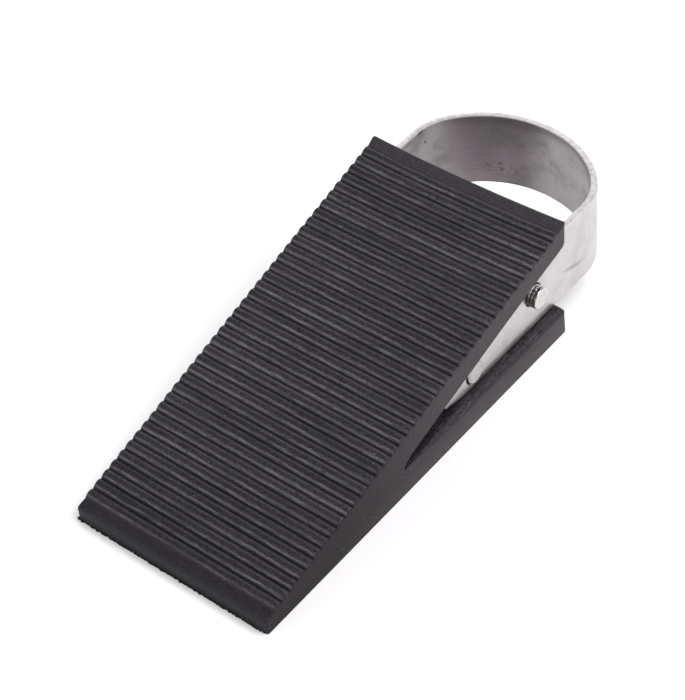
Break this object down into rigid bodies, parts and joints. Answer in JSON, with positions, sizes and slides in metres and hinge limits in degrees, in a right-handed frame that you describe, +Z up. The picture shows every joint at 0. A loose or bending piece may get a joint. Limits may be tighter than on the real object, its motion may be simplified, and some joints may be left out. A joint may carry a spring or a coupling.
{
  "type": "door stop wedge",
  "caption": "Ribbed rubber door wedge with a forked tail and a U-shaped steel bow that turns on a pin between its leaves, for pulling and hanging.",
  "frame": {"origin": "on the floor, under the middle of the whole object's length and width", "axes": "+Y runs from the thin nose towards the steel bow, +X across the wedge to its right, +Z up"},
  "size_m": [0.05, 0.1284, 0.0318],
  "materials": {
    "rubber": "matte moulded black rubber with fine grain",
    "bow_steel": "brushed stainless strip, lightly scuffed",
    "pin_steel": "bright turned pin",
    "fastener": "bright plated thread",
    "nylon": "natural nylon"
  },
  "bodies": {
    "wedge": {"rubber_wedge": "rubber", "bush_left": "nylon", "bush_right": "nylon"},
    "bow": {"steel_bow": "bow_steel", "front_pin": "pin_steel", "rear_stud": "fastener", "lock_washer_left": "fastener", "lock_washer_right": "fastener", "jam_nut_left": "fastener", "jam_nut_right": "fastener"},
    "roller": {"spacer_roller": "nylon"}
  },
  "joints": [
    {"name": "bow_swing", "type": "hinge", "parent": "wedge", "child": "bow", "pos_m": [0, 0.006, 0.0113], "axis": [1, 0, 0], "range_deg": [0, 3]},
    {"name": "roller_spin", "type": "hinge", "parent": "bow", "child": "roller", "pos_m": [0, 0.0269, 0.0167], "axis": [1, 0, 0], "continuous": true}
  ]
}
